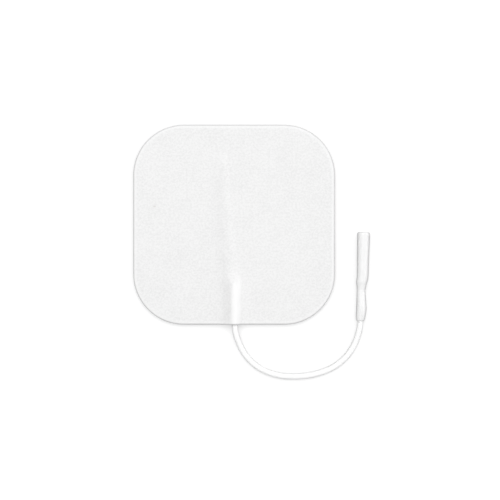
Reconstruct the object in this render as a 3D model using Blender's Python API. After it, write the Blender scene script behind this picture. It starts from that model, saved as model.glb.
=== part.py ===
"""Self-adhesive electrode pad for a nerve stimulator, with its lead and its pin socket.

The pad lies gel side down. From the skin up it is a sheet of hydrogel, a conductive carbon film
and a white nonwoven cover. The lead comes in under the cover, ends there in bare strands that lie
on the film, and carries on its other end a soft moulded sleeve with a metal socket for a 2 mm pin.

Metres, +Z up. The origin is the centre of the gel's underside, and the lead leaves towards -Y.
"""

import math

import bmesh
import bpy
from mathutils import Vector

MM = 0.001

# Pad outline
PAD_WIDTH = 50.5 * MM
PAD_LENGTH = 50.0 * MM
CORNER_RADIUS = 12.7 * MM
LAYER_INSET = 0.8 * MM

# Pad layers
GEL_THICKNESS = 1.0 * MM
FILM_THICKNESS = 0.12 * MM
COVER_THICKNESS = 0.38 * MM
BORDER_DROOP = 0.15 * MM

# Lead and the strands inside it
LEAD_DIAMETER = 1.56 * MM
LEAD_EXIT_X = 0.19 * MM
LEAD_BURIED_LENGTH = 7.5 * MM
LEAD_FALL_RUN = 9.0 * MM
LEAD_RISE_RUN = 6.0 * MM
CONDUCTOR_DIAMETER = 0.6 * MM
STRAND_COUNT = 7
STRAND_GROOVE = 0.18
STRAND_LAY = 9.0 * MM

# Bare strands pressed flat on the film
TAIL_WIDTH = 1.4 * MM
TAIL_HEIGHT = 0.2 * MM
TAIL_END_MARGIN = 10.3 * MM
TAIL_DRIFT = 3.0 * MM
TAIL_DRIFT_RUN = 26.0 * MM
TAIL_DROP_RUN = 3.5 * MM

# Ridge that the cover makes over the lead and the strands, with the lift that it keeps beside them
LEAD_TENT_LEFT = 3.0 * MM
LEAD_TENT_RIGHT = 1.7 * MM
TAIL_TENT = 1.7 * MM
RIDGE_FALL_RUN = 5.0 * MM
RIDGE_END_RUN = 2.5 * MM
RIDGE_COLUMNS = 7
FLAT_COLUMNS = 3
ROW_SPACING = 1.7 * MM

# Metal socket
PIN_DIAMETER = 2.0 * MM
PIN_CLEARANCE = 0.03 * MM
SOCKET_WALL = 0.17 * MM
SOCKET_DEPTH = 8.4 * MM
SOCKET_WEB = 0.4 * MM
SOCKET_SLIT_WIDTH = 0.25 * MM
SOCKET_SLIT_DEPTH = 5.5 * MM
CRIMP_WALL = 0.4 * MM
CRIMP_LENGTH = 3.0 * MM
CRIMP_CLEARANCE = 0.05 * MM

# Moulded sleeve
SLEEVE_LIP_LENGTH = 0.8 * MM
SLEEVE_LIP_CLEARANCE = 0.1 * MM
SLEEVE_MOUTH_WALL = 0.35 * MM
SLEEVE_NECK_WALL = 0.26 * MM
SLEEVE_BARREL_OVERRUN = 1.2 * MM
SLEEVE_WAIST_WALL = 0.26 * MM
SLEEVE_WAIST_RUN = 3.5 * MM
SLEEVE_BULGE_WALL = 0.46 * MM
SLEEVE_BULGE_RUN = 4.4 * MM
SLEEVE_REAR_WALL = 0.26 * MM
SLEEVE_REAR_RUN = 3.1 * MM
SLEEVE_EDGE_ROUNDING = 0.2 * MM
SLEEVE_YAW = math.radians(-2.1)

# Clearances
SEAT_GAP = 0.04 * MM
SLEEVE_CLEARANCE = 0.05 * MM
RIDGE_CLEARANCE = 0.08 * MM
END_GAP = 0.3 * MM
FLOOR_GAP = 0.02 * MM

# Free lead seen from above, as distances from the point where it leaves the pad
LEAD_ROUTE = [
    (0.00 * MM, 0.00 * MM),
    (0.08 * MM, -1.30 * MM),
    (0.39 * MM, -2.74 * MM),
    (0.92 * MM, -4.30 * MM),
    (1.60 * MM, -5.85 * MM),
    (2.42 * MM, -7.28 * MM),
    (3.44 * MM, -8.56 * MM),
    (4.60 * MM, -9.72 * MM),
    (5.92 * MM, -10.72 * MM),
    (7.36 * MM, -11.50 * MM),
    (8.86 * MM, -12.12 * MM),
    (10.40 * MM, -12.56 * MM),
    (11.95 * MM, -12.85 * MM),
    (13.50 * MM, -12.97 * MM),
    (15.05 * MM, -12.99 * MM),
    (16.57 * MM, -12.93 * MM),
    (18.08 * MM, -12.77 * MM),
    (19.58 * MM, -12.50 * MM),
    (21.08 * MM, -12.11 * MM),
    (22.58 * MM, -11.62 * MM),
    (24.04 * MM, -10.98 * MM),
    (25.41 * MM, -10.17 * MM),
    (26.70 * MM, -9.19 * MM),
    (27.87 * MM, -8.04 * MM),
    (28.89 * MM, -6.74 * MM),
    (29.74 * MM, -5.33 * MM),
    (30.42 * MM, -3.81 * MM),
    (30.92 * MM, -2.20 * MM),
    (31.24 * MM, -0.60 * MM),
    (31.41 * MM, 0.99 * MM),
]

# Mesh fineness
TURNED_STEPS = 24
PROFILE_STEPS = 4
ROUNDING_STEPS = 3
ROUTE_SUBDIVISIONS = 16
LEAD_POINT_SPACING = 2.0 * LEAD_DIAMETER
LEAD_BEVEL_RESOLUTION = 2
TAIL_RING_SPACING = 0.85 * MM
MERGE_DISTANCE = 0.0001 * MM
SHARP_ANGLE = math.radians(35)

# Heights and places that follow from the sizes above
FILM_BOTTOM = GEL_THICKNESS
FILM_TOP = FILM_BOTTOM + FILM_THICKNESS
LEAD_RADIUS = LEAD_DIAMETER / 2
CONDUCTOR_RADIUS = CONDUCTOR_DIAMETER / 2
EXIT_Y = -PAD_LENGTH / 2
EXIT_HEIGHT = FILM_TOP + SEAT_GAP + LEAD_RADIUS
LYING_HEIGHT = LEAD_RADIUS + FLOOR_GAP
LEAD_END_Y = EXIT_Y + LEAD_BURIED_LENGTH
TAIL_START_Y = LEAD_END_Y + END_GAP
TAIL_END_Y = PAD_LENGTH / 2 - TAIL_END_MARGIN

# Sleeve and socket radii, and distances behind the mouth
PIN_BORE_RADIUS = PIN_DIAMETER / 2 + PIN_CLEARANCE
SOCKET_RADIUS = PIN_BORE_RADIUS + SOCKET_WALL
CRIMP_BORE_RADIUS = CONDUCTOR_RADIUS + CRIMP_CLEARANCE
CRIMP_RADIUS = CRIMP_BORE_RADIUS + CRIMP_WALL
LIP_RADIUS = PIN_BORE_RADIUS + SLEEVE_LIP_CLEARANCE
POCKET_RADIUS = SOCKET_RADIUS + SLEEVE_CLEARANCE
REAR_BORE_RADIUS = max(LEAD_RADIUS, CRIMP_RADIUS) + SLEEVE_CLEARANCE
MOUTH_RADIUS = POCKET_RADIUS + SLEEVE_MOUTH_WALL
NECK_RADIUS = POCKET_RADIUS + SLEEVE_NECK_WALL
WAIST_RADIUS = REAR_BORE_RADIUS + SLEEVE_WAIST_WALL
BULGE_RADIUS = REAR_BORE_RADIUS + SLEEVE_BULGE_WALL
REAR_RADIUS = REAR_BORE_RADIUS + SLEEVE_REAR_WALL
SOCKET_FRONT = SLEEVE_LIP_LENGTH + SLEEVE_CLEARANCE
SOCKET_BLIND_END = SOCKET_FRONT + SOCKET_DEPTH
CRIMP_FRONT = SOCKET_BLIND_END + SOCKET_WEB
CRIMP_REAR = CRIMP_FRONT + CRIMP_LENGTH
POCKET_END = CRIMP_FRONT + SLEEVE_CLEARANCE
BARREL_END = POCKET_END + SLEEVE_BARREL_OVERRUN
WAIST_PLACE = BARREL_END + SLEEVE_WAIST_RUN
BULGE_PLACE = WAIST_PLACE + SLEEVE_BULGE_RUN
SLEEVE_LENGTH = BULGE_PLACE + SLEEVE_REAR_RUN
LEAD_SLEEVE_END = CRIMP_REAR + END_GAP
SLEEVE_PITCH = math.asin((MOUTH_RADIUS - NECK_RADIUS) / BARREL_END)


def clear_scene():
    """Start from an empty scene."""
    for item in list(bpy.data.objects):
        bpy.data.objects.remove(item, do_unlink=True)


def smoothstep(share):
    """Ease from 0 to 1 as share goes from 0 to 1."""
    held = min(max(share, 0.0), 1.0)
    return held * held * (3.0 - 2.0 * held)


def mix(start, end, share):
    """Value between start and end."""
    return start + (end - start) * share


def make_material(name, colour, roughness, metallic=0.0, alpha=1.0):
    """Principled material with the piece's colour and finish."""
    material = bpy.data.materials.new(name)
    material.use_nodes = True
    shader = material.node_tree.nodes["Principled BSDF"]
    shader.inputs["Base Color"].default_value = (*colour, 1.0)
    shader.inputs["Roughness"].default_value = roughness
    shader.inputs["Metallic"].default_value = metallic
    shader.inputs["Alpha"].default_value = alpha
    return material


def finish_mesh(name, mesh, material, parent=None):
    """Put a finished mesh into the scene as a named piece."""
    mesh.materials.append(material)
    mesh.shade_smooth()
    mesh.set_sharp_from_angle(angle=SHARP_ANGLE)
    piece = bpy.data.objects.new(name, mesh)
    bpy.context.scene.collection.objects.link(piece)
    piece.parent = parent
    return piece


def mesh_from_bmesh(name, shape):
    """Turn a bmesh into a mesh with its faces pointing out."""
    bmesh.ops.remove_doubles(shape, verts=shape.verts, dist=MERGE_DISTANCE)
    bmesh.ops.recalc_face_normals(shape, faces=shape.faces)
    mesh = bpy.data.meshes.new(name)
    shape.to_mesh(mesh)
    shape.free()
    return mesh


def corner_steps(radius):
    """Number of straight pieces that stand for a quarter circle."""
    return math.ceil(math.pi / 2 * radius / ROW_SPACING)


def outline(half_width, half_length, radius):
    """Corners of a rounded rectangle, anticlockwise from its right side."""
    steps = corner_steps(radius)
    points = []
    for quarter in range(4):
        side_x = 1 if quarter in (0, 3) else -1
        side_y = 1 if quarter in (0, 1) else -1
        for step in range(steps + 1):
            angle = math.pi / 2 * (quarter + step / steps)
            centre_x = side_x * (half_width - radius)
            centre_y = side_y * (half_length - radius)
            points.append((centre_x + radius * math.cos(angle), centre_y + radius * math.sin(angle)))
    return points


def make_layer(name, bottom, thickness, material):
    """Flat sheet with the pad's outline, set back from the cover's edge."""
    points = outline(PAD_WIDTH / 2 - LAYER_INSET, PAD_LENGTH / 2 - LAYER_INSET, CORNER_RADIUS - LAYER_INSET)
    shape = bmesh.new()
    rim = [shape.verts.new((x, y, bottom)) for x, y in points]
    base = shape.faces.new(rim)
    raised = bmesh.ops.extrude_face_region(shape, geom=[base])
    for item in raised["geom"]:
        if isinstance(item, bmesh.types.BMVert):
            item.co.z = bottom + thickness
    return finish_mesh(name, mesh_from_bmesh(name, shape), material)


def wire_x(y):
    """Sideways place of the lead and its strands under the cover."""
    return LEAD_EXIT_X - TAIL_DRIFT * smoothstep((y - TAIL_START_Y) / TAIL_DRIFT_RUN)


def ridge_fallen(y):
    """How far the ridge has come down from the lead's height to the strands'."""
    return smoothstep((y - LEAD_END_Y - ROW_SPACING) / RIDGE_FALL_RUN)


def ridge_edges(y):
    """Places along X where the cover lies flat on the film again, left and right of the wire."""
    fallen = ridge_fallen(y)
    tail_reach = TAIL_WIDTH / 2 + TAIL_TENT
    left = mix(LEAD_RADIUS + LEAD_TENT_LEFT, tail_reach, fallen)
    right = mix(LEAD_RADIUS + LEAD_TENT_RIGHT, tail_reach, fallen)
    return wire_x(y) - left, wire_x(y) + right


def ridge_rise(x, y):
    """Height of the cover's underside above the film, over the lead and its strands."""
    lead_crest = SEAT_GAP + LEAD_DIAMETER + RIDGE_CLEARANCE
    tail_crest = SEAT_GAP + TAIL_HEIGHT + RIDGE_CLEARANCE
    ended = smoothstep((y - TAIL_END_Y - ROW_SPACING) / RIDGE_END_RUN)
    crest = mix(lead_crest, tail_crest, ridge_fallen(y)) * (1.0 - ended)
    left, right = ridge_edges(y)
    foot = left if x < wire_x(y) else right
    aside = min((x - wire_x(y)) / (foot - wire_x(y)), 1.0)
    return crest * (1.0 + math.cos(math.pi * aside)) / 2


def cover_rows(half_length, radius):
    """Places along Y of the cover's rows of points, from the lead's edge to the far edge."""
    steps = corner_steps(radius)
    straight = half_length - radius
    middle = math.ceil(2 * straight / ROW_SPACING)
    rows = [-straight - radius * math.cos(math.pi / 2 * step / steps) for step in range(steps)]
    rows += [mix(-straight, straight, step / middle) for step in range(middle + 1)]
    rows += [straight + radius * math.sin(math.pi / 2 * step / steps) for step in range(1, steps + 1)]
    return rows


def cover_columns(y, half_width, half_length, radius):
    """Places along X of one row's points, close together over the ridge."""
    beyond = max(abs(y) - (half_length - radius), 0.0)
    edge = half_width - radius + math.sqrt(max(radius * radius - beyond * beyond, 0.0))
    left, right = ridge_edges(y)
    columns = [mix(-edge, left, step / FLAT_COLUMNS) for step in range(FLAT_COLUMNS)]
    columns += [mix(left, wire_x(y), step / RIDGE_COLUMNS) for step in range(RIDGE_COLUMNS)]
    columns += [mix(wire_x(y), right, step / RIDGE_COLUMNS) for step in range(RIDGE_COLUMNS)]
    columns += [mix(right, edge, step / FLAT_COLUMNS) for step in range(FLAT_COLUMNS + 1)]
    return columns


def outward(x, y, half_width, half_length, radius):
    """Point on the cover's edge opposite a point on the film's edge."""
    core_x = min(max(x, radius - half_width), half_width - radius)
    core_y = min(max(y, radius - half_length), half_length - radius)
    reach = (radius + LAYER_INSET) / radius
    return core_x + (x - core_x) * reach, core_y + (y - core_y) * reach


def make_cover(name, material):
    """Nonwoven cover: flat on the film, tented over the lead, drooping past the film's edge."""
    half_width = PAD_WIDTH / 2 - LAYER_INSET
    half_length = PAD_LENGTH / 2 - LAYER_INSET
    radius = CORNER_RADIUS - LAYER_INSET
    rows = cover_rows(half_length, radius)
    shape = bmesh.new()
    sheets = []
    for offset in (0.0, COVER_THICKNESS):
        grid = []
        for y in rows:
            columns = cover_columns(y, half_width, half_length, radius)
            grid.append([shape.verts.new((x, y, FILM_TOP + offset + ridge_rise(x, y))) for x in columns])
        loop = grid[0] + [row[-1] for row in grid[1:]] + grid[-1][-2::-1] + [row[0] for row in grid[-2:0:-1]]
        edge = []
        for corner in loop:
            x, y = outward(corner.co.x, corner.co.y, half_width, half_length, radius)
            rise = ridge_rise(x, y)
            crest = ridge_rise(wire_x(y), y)
            droop = BORDER_DROOP * (1.0 - rise / crest) if crest > 0 else BORDER_DROOP
            edge.append(shape.verts.new((x, y, FILM_TOP + offset + rise - droop)))
        sheets.append((grid, loop, edge))
    for grid, loop, edge in sheets:
        for near, far in zip(grid, grid[1:]):
            for place in range(len(near) - 1):
                shape.faces.new((near[place], near[place + 1], far[place + 1], far[place]))
        for place, corner in enumerate(loop):
            after = (place + 1) % len(loop)
            shape.faces.new((edge[place], edge[after], loop[after], corner))
    under_edge = sheets[0][2]
    top_edge = sheets[1][2]
    for place in range(len(under_edge)):
        after = (place + 1) % len(under_edge)
        shape.faces.new((under_edge[place], under_edge[after], top_edge[after], top_edge[place]))
    return finish_mesh(name, mesh_from_bmesh(name, shape), material)


def make_strands(name, stations, material, parent=None):
    """Bundle of twisted strands along Y, from stations of centre, half width and half height."""
    shape = bmesh.new()
    rings = []
    for centre, half_width, half_height in stations:
        ring = []
        twist = 2 * math.pi * centre.y / STRAND_LAY
        for corner in range(2 * STRAND_COUNT):
            angle = math.pi * corner / STRAND_COUNT + twist
            reach = 1.0 - STRAND_GROOVE * (corner % 2)
            side = half_width * reach * math.cos(angle)
            up = half_height * reach * math.sin(angle)
            ring.append(shape.verts.new(centre + Vector((side, 0.0, up))))
        rings.append(ring)
    shape.faces.new(rings[0])
    shape.faces.new(rings[-1])
    for near, far in zip(rings, rings[1:]):
        for place in range(len(near)):
            after = (place + 1) % len(near)
            shape.faces.new((near[place], near[after], far[after], far[place]))
    return finish_mesh(name, mesh_from_bmesh(name, shape), material, parent)


def tail_stations():
    """Strands coming out of the lead, dropping to the film and spreading flat on it."""
    count = math.ceil((TAIL_END_Y - TAIL_START_Y) / TAIL_RING_SPACING)
    stations = []
    for step in range(count + 1):
        y = mix(TAIL_START_Y, TAIL_END_Y, step / count)
        dropped = smoothstep((y - TAIL_START_Y) / TAIL_DROP_RUN)
        half_width = mix(CONDUCTOR_RADIUS, TAIL_WIDTH / 2, dropped)
        half_height = mix(CONDUCTOR_RADIUS, TAIL_HEIGHT / 2, dropped)
        height = mix(EXIT_HEIGHT, FILM_TOP + SEAT_GAP + TAIL_HEIGHT / 2, dropped)
        stations.append((Vector((wire_x(y), y, height)), half_width, half_height))
    return stations


def crimped_stations():
    """Stripped end of the strands, straight inside the crimp, behind the mouth along -Y."""
    front = CRIMP_FRONT + CRIMP_CLEARANCE
    rear = LEAD_SLEEVE_END - END_GAP / 2
    count = math.ceil((rear - front) / TAIL_RING_SPACING)
    return [
        (Vector((0.0, -mix(rear, front, step / count), 0.0)), CONDUCTOR_RADIUS, CONDUCTOR_RADIUS)
        for step in range(count + 1)
    ]


def turn(name, profile, material, parent):
    """Turn a half section, given as distance behind the mouth and radius, about the pin's axis."""
    shape = bmesh.new()
    corners = [shape.verts.new((radius, -behind, 0.0)) for behind, radius in profile]
    edges = [shape.edges.new(pair) for pair in zip(corners, corners[1:])]
    if profile[0][1] > 0:
        edges.append(shape.edges.new((corners[-1], corners[0])))
    bmesh.ops.spin(
        shape,
        geom=corners + edges,
        cent=(0.0, 0.0, 0.0),
        axis=(0.0, 1.0, 0.0),
        angle=2 * math.pi,
        steps=TURNED_STEPS,
        use_merge=True,
    )
    return finish_mesh(name, mesh_from_bmesh(name, shape), material, parent)


def eased(start, end):
    """Points of a soft S between two places on a half section, without the first."""
    shares = [step / PROFILE_STEPS for step in range(1, PROFILE_STEPS + 1)]
    return [(mix(start[0], end[0], share), mix(start[1], end[1], smoothstep(share))) for share in shares]


def rounded_edge(behind, radius, towards_rear):
    """Rounded outer edge of the sleeve's mouth or rear, in the order that the section runs."""
    sign = -1 if towards_rear else 1
    points = []
    for step in range(ROUNDING_STEPS + 1):
        angle = math.pi / 2 * step / ROUNDING_STEPS
        inward = SLEEVE_EDGE_ROUNDING * (1.0 - math.cos(angle))
        outside = SLEEVE_EDGE_ROUNDING * (1.0 - math.sin(angle))
        points.append((behind + sign * inward, radius - outside))
    return points[::-1] if towards_rear else points


def sleeve_profile():
    """Half section of the sleeve: out along the barrel and grip, back through the bore."""
    barrel_end = (BARREL_END, NECK_RADIUS)
    waist = (WAIST_PLACE, WAIST_RADIUS)
    bulge = (BULGE_PLACE, BULGE_RADIUS)
    rear_edge = rounded_edge(SLEEVE_LENGTH, REAR_RADIUS, True)
    profile = rounded_edge(0.0, MOUTH_RADIUS, False)
    profile += [barrel_end]
    profile += eased(barrel_end, waist)
    profile += eased(waist, bulge)
    profile += eased(bulge, rear_edge[0])
    profile += rear_edge[1:]
    profile += [
        (SLEEVE_LENGTH, REAR_BORE_RADIUS),
        (POCKET_END, REAR_BORE_RADIUS),
        (POCKET_END, POCKET_RADIUS),
        (SLEEVE_LIP_LENGTH, POCKET_RADIUS),
        (SLEEVE_LIP_LENGTH, LIP_RADIUS),
        (0.0, LIP_RADIUS),
    ]
    return profile


def socket_profile():
    """Half section of the socket: pin bore in front, web, crimp bore behind."""
    return [
        (SOCKET_BLIND_END, 0.0),
        (SOCKET_BLIND_END, PIN_BORE_RADIUS),
        (SOCKET_FRONT, PIN_BORE_RADIUS),
        (SOCKET_FRONT, SOCKET_RADIUS),
        (CRIMP_FRONT, SOCKET_RADIUS),
        (CRIMP_FRONT, CRIMP_RADIUS),
        (CRIMP_REAR, CRIMP_RADIUS),
        (CRIMP_REAR, CRIMP_BORE_RADIUS),
        (CRIMP_FRONT, CRIMP_BORE_RADIUS),
        (CRIMP_FRONT, 0.0),
    ]


def cut_slits(socket, parent):
    """Saw the socket's front lengthways, so that it springs on the pin."""
    overrun = SOCKET_WALL
    front = -SOCKET_FRONT + overrun
    rear = -SOCKET_FRONT - SOCKET_SLIT_DEPTH
    shape = bmesh.new()
    bmesh.ops.create_cube(shape, size=1.0)
    mesh = mesh_from_bmesh("socket_slit_cutter", shape)
    cutter = bpy.data.objects.new("socket_slit_cutter", mesh)
    bpy.context.scene.collection.objects.link(cutter)
    for corner in mesh.vertices:
        corner.co.x *= 2 * (SOCKET_RADIUS + overrun)
        corner.co.y = mix(rear, front, corner.co.y + 0.5)
        corner.co.z *= SOCKET_SLIT_WIDTH
    cutter.parent = parent
    cutter.hide_render = True
    cutter.display_type = "WIRE"
    saw = socket.modifiers.new("slits", "BOOLEAN")
    saw.operation = "DIFFERENCE"
    saw.solver = "EXACT"
    saw.object = cutter


def smooth_points(points):
    """Close points on the smooth curve through the given ones."""
    padded = [2 * points[0] - points[1]] + points + [2 * points[-1] - points[-2]]
    curve = []
    for before, start, end, after in zip(padded, padded[1:], padded[2:], padded[3:]):
        for step in range(ROUTE_SUBDIVISIONS):
            share = step / ROUTE_SUBDIVISIONS
            bend = 2 * before - 5 * start + 4 * end - after
            twist = 3 * start - before - 3 * end + after
            curve.append(start + 0.5 * share * ((end - before) + share * (bend + share * twist)))
    return curve + [points[-1]]


def spaced_points(curve, spacing):
    """Evenly spaced points along a finely divided curve, its ends included."""
    travelled = [0.0]
    for start, end in zip(curve, curve[1:]):
        travelled.append(travelled[-1] + (end - start).length)
    count = math.ceil(travelled[-1] / spacing)
    points = [curve[0]]
    place = 0
    for step in range(1, count):
        goal = travelled[-1] * step / count
        while travelled[place + 1] < goal:
            place += 1
        share = (goal - travelled[place]) / (travelled[place + 1] - travelled[place])
        points.append(curve[place].lerp(curve[place + 1], share))
    return points + [curve[-1]]


def sleeve_direction():
    """Way from the sleeve's rear to its mouth."""
    level = math.cos(SLEEVE_PITCH)
    return Vector((-math.sin(SLEEVE_YAW) * level, math.cos(SLEEVE_YAW) * level, math.sin(SLEEVE_PITCH)))


def sleeve_rear():
    """Middle of the sleeve's rear face, at the free lead's far end."""
    across, along = LEAD_ROUTE[-1]
    height = MOUTH_RADIUS + FLOOR_GAP - SLEEVE_LENGTH * math.sin(SLEEVE_PITCH)
    return Vector((LEAD_EXIT_X + across, EXIT_Y + along, height))


def free_lead_points():
    """Route from the pad to the sleeve: down to the surface, along it, and up into the sleeve."""
    flat = [Vector((LEAD_EXIT_X + across, EXIT_Y + along, 0.0)) for across, along in LEAD_ROUTE]
    travelled = [0.0]
    for start, end in zip(flat, flat[1:]):
        travelled.append(travelled[-1] + (end - start).length)
    rear_height = sleeve_rear().z
    for point, done in zip(flat, travelled):
        falling = 1.0 - smoothstep(done / LEAD_FALL_RUN)
        rising = 1.0 - smoothstep((travelled[-1] - done) / LEAD_RISE_RUN)
        point.z = LYING_HEIGHT + falling * (EXIT_HEIGHT - LYING_HEIGHT) + rising * (rear_height - LYING_HEIGHT)
    return flat


def make_lead(name, material):
    """Insulated lead, from its stripped end under the cover to its stripped end in the sleeve."""
    buried_end = Vector((LEAD_EXIT_X, LEAD_END_Y, EXIT_HEIGHT))
    sleeve_end = sleeve_rear() + sleeve_direction() * (SLEEVE_LENGTH - LEAD_SLEEVE_END)
    free = spaced_points(smooth_points(free_lead_points()), LEAD_POINT_SPACING)
    points = spaced_points([buried_end, free[0]], LEAD_POINT_SPACING)[:-1] + free
    points += spaced_points([free[-1], sleeve_end], LEAD_POINT_SPACING)[1:]
    curve = bpy.data.curves.new(name, "CURVE")
    curve.dimensions = "3D"
    curve.bevel_depth = LEAD_RADIUS
    curve.bevel_resolution = LEAD_BEVEL_RESOLUTION
    curve.use_fill_caps = True
    spline = curve.splines.new("POLY")
    spline.points.add(len(points) - 1)
    for control, point in zip(spline.points, points):
        control.co = (*point, 1.0)
    spline.use_smooth = True
    curve.materials.append(material)
    piece = bpy.data.objects.new(name, curve)
    bpy.context.scene.collection.objects.link(piece)
    return piece


def make_pad():
    """Gel, film and cover, with the bare strands between film and cover."""
    gel = make_material("hydrogel", (0.80, 0.82, 0.78), 0.18, alpha=0.6)
    carbon = make_material("carbon_film", (0.02, 0.02, 0.022), 0.55)
    fabric = make_material("nonwoven_fabric", (0.87, 0.87, 0.87), 0.92)
    copper = make_material("tinned_copper", (0.62, 0.60, 0.58), 0.35, metallic=1.0)
    make_layer("gel_layer", 0.0, GEL_THICKNESS, gel)
    make_layer("carbon_film", FILM_BOTTOM, FILM_THICKNESS, carbon)
    make_cover("backing_fabric", fabric)
    make_strands("conductor_tail", tail_stations(), copper)


def make_connector():
    """Sleeve, metal socket and crimped strands, on an empty at the mouth with +Y out of it."""
    vinyl = make_material("soft_vinyl", (0.86, 0.86, 0.86), 0.42)
    metal = make_material("plated_brass", (0.78, 0.75, 0.68), 0.25, metallic=1.0)
    copper = make_material("crimped_copper", (0.62, 0.60, 0.58), 0.35, metallic=1.0)
    mouth = bpy.data.objects.new("connector_mouth", None)
    bpy.context.scene.collection.objects.link(mouth)
    mouth.location = sleeve_rear() + sleeve_direction() * SLEEVE_LENGTH
    mouth.rotation_euler = (SLEEVE_PITCH, 0.0, SLEEVE_YAW)
    turn("connector_sleeve", sleeve_profile(), vinyl, mouth)
    socket = turn("connector_socket", socket_profile(), metal, mouth)
    cut_slits(socket, mouth)
    make_strands("conductor_crimped_end", crimped_stations(), copper, mouth)


def main():
    clear_scene()
    make_pad()
    make_lead("lead_wire", make_material("lead_vinyl", (0.88, 0.88, 0.88), 0.38))
    make_connector()
    bpy.context.view_layer.update()


main()
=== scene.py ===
"""Looks of the electrode pad: cover, film and gel, the lead, and the pin socket's sleeve.

Metres, +Z up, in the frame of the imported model. The pad lies gel side down on a pale floor.
Patterns in the materials are laid out in millimetres, and so are the values that say so.
"""

import math

import bmesh
import bpy
from mathutils import Matrix, Vector, noise


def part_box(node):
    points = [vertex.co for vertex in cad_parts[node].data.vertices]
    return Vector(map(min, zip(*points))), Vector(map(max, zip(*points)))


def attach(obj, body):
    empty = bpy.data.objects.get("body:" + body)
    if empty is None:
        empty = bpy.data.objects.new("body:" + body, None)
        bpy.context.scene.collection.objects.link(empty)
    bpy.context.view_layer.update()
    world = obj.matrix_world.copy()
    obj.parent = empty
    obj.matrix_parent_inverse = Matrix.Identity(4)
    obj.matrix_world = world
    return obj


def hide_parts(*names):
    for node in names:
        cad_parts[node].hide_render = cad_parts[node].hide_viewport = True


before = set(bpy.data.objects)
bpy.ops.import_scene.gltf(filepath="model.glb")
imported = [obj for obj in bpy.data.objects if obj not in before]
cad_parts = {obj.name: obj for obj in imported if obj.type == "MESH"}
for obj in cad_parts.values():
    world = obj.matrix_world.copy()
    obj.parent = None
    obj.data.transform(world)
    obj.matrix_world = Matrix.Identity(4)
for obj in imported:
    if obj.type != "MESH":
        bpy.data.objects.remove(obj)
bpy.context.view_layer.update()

MM = 0.001

# Pad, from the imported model
COVER_LOW, COVER_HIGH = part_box("backing_fabric")
FILM_LOW, FILM_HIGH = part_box("carbon_film")
GEL_LOW, GEL_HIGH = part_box("gel_layer")
FILM_TOP = FILM_HIGH.z
FILM_HALF_WIDTH = FILM_HIGH.x
FILM_HALF_LENGTH = FILM_HIGH.y
LAYER_INSET = FILM_LOW.x - COVER_LOW.x
COVER_CORNER = 12.7 * MM
FILM_CORNER = COVER_CORNER - LAYER_INSET

# Clearances
SEAT_GAP = 0.04 * MM
FLOOR_GAP = 0.02 * MM
RIDGE_CLEARANCE = 0.08 * MM

# Cover
COVER_THICKNESS = 0.38 * MM
RIM_ROUNDING_RUN = 0.34 * MM
RIM_ROUNDING_DROP = 0.26 * MM
RIM_STEPS = 6
BORDER_DROOP = 0.13 * MM
BORDER_DROOP_POWER = 1.7
BORDER_STEPS = 4
ROW_SPACING = 0.4 * MM
FLAT_COLUMNS = 44
RIDGE_COLUMNS = 20
TUFT_DEPTH = 0.008 * MM
TUFT_SIZE = 0.55 * MM

# Gel and its support net
GEL_ROUNDING = 0.15 * MM
GEL_ROUNDING_STEPS = 4
GEL_CORNER_STEPS = 24
NET_PITCH = 1.6 * MM
NET_THREAD = 0.22 * MM

# Lead
LEAD_RADIUS = 0.78 * MM
LEAD_EXIT_X = 0.19 * MM
LEAD_BURIED_LENGTH = 7.5 * MM
EXIT_Y = COVER_LOW.y
LEAD_END_Y = EXIT_Y + LEAD_BURIED_LENGTH
EXIT_HEIGHT = FILM_TOP + SEAT_GAP + LEAD_RADIUS
LYING_HEIGHT = LEAD_RADIUS + FLOOR_GAP
LEAD_FALL_RUN = 6.5 * MM
LEAD_RISE_RUN = 6.0 * MM
LEAD_POINT_SPACING = 0.5 * MM
LEAD_BEVEL_RESOLUTION = 8
CURVE_SUBDIVISIONS = 16

# Free lead seen from above, as distances from the point where it leaves the pad
LEAD_ROUTE = [
    (0.00 * MM, 0.00 * MM),
    (0.08 * MM, -1.30 * MM),
    (0.39 * MM, -2.74 * MM),
    (0.92 * MM, -4.30 * MM),
    (1.60 * MM, -5.85 * MM),
    (2.42 * MM, -7.28 * MM),
    (3.44 * MM, -8.56 * MM),
    (4.60 * MM, -9.72 * MM),
    (5.92 * MM, -10.72 * MM),
    (7.36 * MM, -11.50 * MM),
    (8.86 * MM, -12.12 * MM),
    (10.40 * MM, -12.56 * MM),
    (11.95 * MM, -12.85 * MM),
    (13.50 * MM, -12.97 * MM),
    (15.05 * MM, -12.99 * MM),
    (16.57 * MM, -12.93 * MM),
    (18.08 * MM, -12.77 * MM),
    (19.58 * MM, -12.50 * MM),
    (21.08 * MM, -12.11 * MM),
    (22.58 * MM, -11.62 * MM),
    (24.04 * MM, -10.98 * MM),
    (25.41 * MM, -10.17 * MM),
    (26.70 * MM, -9.19 * MM),
    (27.87 * MM, -8.04 * MM),
    (28.89 * MM, -6.74 * MM),
    (29.74 * MM, -5.33 * MM),
    (30.42 * MM, -3.81 * MM),
    (30.92 * MM, -2.20 * MM),
    (31.24 * MM, -0.60 * MM),
    (31.41 * MM, 0.99 * MM),
]

# Ridge in the cover. A tent is the width from the wire's side to the flat cover, and the strands'
# tents have one width near the lead and one at their far end.
LEAD_TENT_LEFT = 2.8 * MM
LEAD_TENT_RIGHT = 1.6 * MM
TAIL_TENT_LEFT = (2.2 * MM, 3.0 * MM)
TAIL_TENT_RIGHT = (2.0 * MM, 0.5 * MM)
FOOT_REACH = 1.7
FOOT_SHARE = 0.22
LEAD_CREST = SEAT_GAP + 2 * LEAD_RADIUS + RIDGE_CLEARANCE
RIDGE_START_GAP = 1.7 * MM
RIDGE_FALL_RUN = 5.0 * MM
RIDGE_END_GAP = 0.2 * MM
RIDGE_END_RUN = 3.2 * MM

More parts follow.
